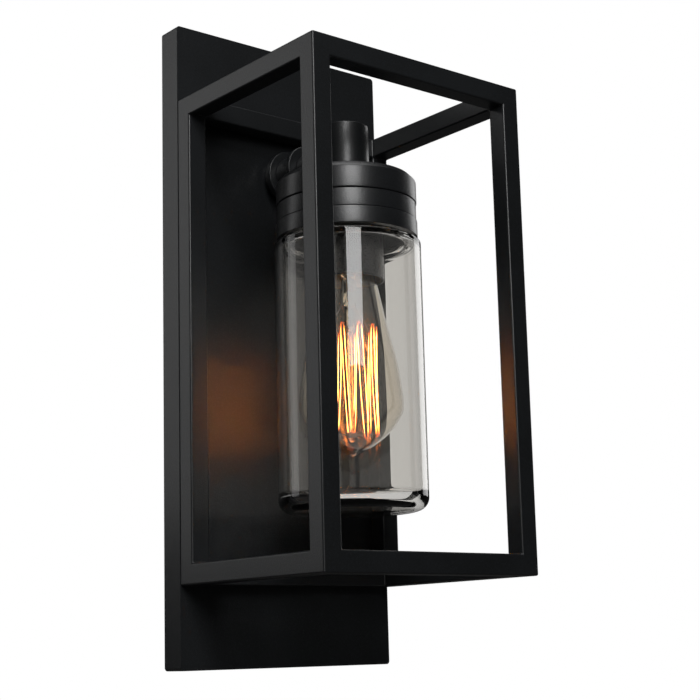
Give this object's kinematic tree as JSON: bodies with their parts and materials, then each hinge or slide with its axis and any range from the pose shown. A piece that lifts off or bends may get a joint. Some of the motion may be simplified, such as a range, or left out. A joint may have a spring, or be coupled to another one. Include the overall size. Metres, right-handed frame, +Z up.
{
  "type": "outdoor wall lantern",
  "caption": "Box-cage outdoor wall lantern: tall wall plate, open square-tube frame and a short arm holding a capped clear glass jar over a screw-in filament bulb.",
  "frame": {"origin": "on the wall plane, centre of the mounting bar's rear face, which is also the middle of the wall plate's width and height", "axes": "+Z up; +Y into the wall, so the lantern projects towards -Y; +X to the right seen from the front"},
  "size_m": [0.152, 0.1475, 0.379],
  "materials": {
    "black_powder_coat": "fine-textured black powder coat",
    "zinc_steel": "zinc-plated steel",
    "green_screw": "green dyed zinc plate",
    "black_foam": "closed-cell foam",
    "silicone": "translucent silicone",
    "clear_glass": "clear, pressed",
    "bulb_glass": "clear, blown",
    "porcelain": "white glaze",
    "brass": "formed sheet brass",
    "black_glass": "fused black glass",
    "solder": "dull solder",
    "support_wire": "drawn wire",
    "glowing_filament": "incandescent",
    "black_wire": "wire insulation",
    "white_wire": "wire insulation",
    "orange_nylon": "moulded nylon"
  },
  "bodies": {
    "fixture": {"backplate": "black_powder_coat", "mounting_bar": "zinc_steel", "wall_gasket": "black_foam", "plate_screw_top": "black_powder_coat", "plate_screw_bottom": "black_powder_coat", "ground_screw": "green_screw", "top_rail_left": "black_powder_coat", "top_rail_right": "black_powder_coat", "top_rail_front": "black_powder_coat", "top_rail_rear": "black_powder_coat", "bottom_rail_left": "black_powder_coat", "bottom_rail_right": "black_powder_coat", "bottom_rail_front": "black_powder_coat", "bottom_rail_rear": "black_powder_coat", "post_front_left": "black_powder_coat", "post_front_right": "black_powder_coat", "post_rear_left": "black_powder_coat", "post_rear_right": "black_powder_coat", "cage_screw_upper_left": "zinc_steel", "cage_screw_upper_right": "zinc_steel", "cage_screw_lower_left": "zinc_steel", "cage_screw_lower_right": "zinc_steel", "arm_nipple": "zinc_steel", "arm_flange": "black_powder_coat", "arm_spacer": "black_powder_coat", "arm_collar": "black_powder_coat", "arm_neck": "black_powder_coat", "arm_washer": "zinc_steel", "arm_lock_nut": "zinc_steel", "stem": "black_powder_coat", "cap_top": "black_powder_coat", "fitter_body": "black_powder_coat", "fitter_rim": "black_powder_coat", "cap_screw_1": "zinc_steel", "cap_screw_2": "zinc_steel", "cap_screw_3": "zinc_steel", "holder_cup": "black_powder_coat", "holder_insulator": "porcelain", "screw_shell": "brass", "centre_contact": "brass", "holder_nipple": "zinc_steel", "nipple_nut": "zinc_steel", "lead_live": "black_wire", "connector_live": "orange_nylon", "lead_neutral": "white_wire", "connector_neutral": "orange_nylon"},
    "jar_carriage": {"jar_seal": "silicone"},
    "jar": {"glass_jar": "clear_glass"},
    "bulb_carriage": {"bulb_tip_contact": "solder"},
    "bulb": {"bulb_envelope": "bulb_glass", "bulb_screw_cap": "brass", "bulb_insulator": "black_glass", "bulb_mount": "bulb_glass", "filament_hub_top": "support_wire", "filament_hub_bottom": "support_wire", "filament": "glowing_filament", "bulb_lead_live": "support_wire", "bulb_lead_neutral": "support_wire"}
  },
  "joints": [
    {"name": "jar_drop", "type": "slide", "parent": "fixture", "child": "jar_carriage", "axis": [0, 0, -1], "range_m": [0, 0.216]},
    {"name": "jar_turn", "type": "hinge", "parent": "jar_carriage", "child": "jar", "pos_m": [0, -0.079, 0], "axis": [0, 0, -1], "range_deg": [0, 540]},
    {"name": "bulb_travel", "type": "slide", "parent": "fixture", "child": "bulb_carriage", "axis": [0, 0, -1], "range_m": [0, 0.02177]},
    {"name": "bulb_turn", "type": "hinge", "parent": "bulb_carriage", "child": "bulb", "pos_m": [0, -0.079, 0], "axis": [0, 0, -1], "range_deg": [0, 2160]}
  ],
  "couplings": [
    {"joint": "bulb_turn", "follows": "bulb_travel", "rad_per_m": 1731.6}
  ]
}
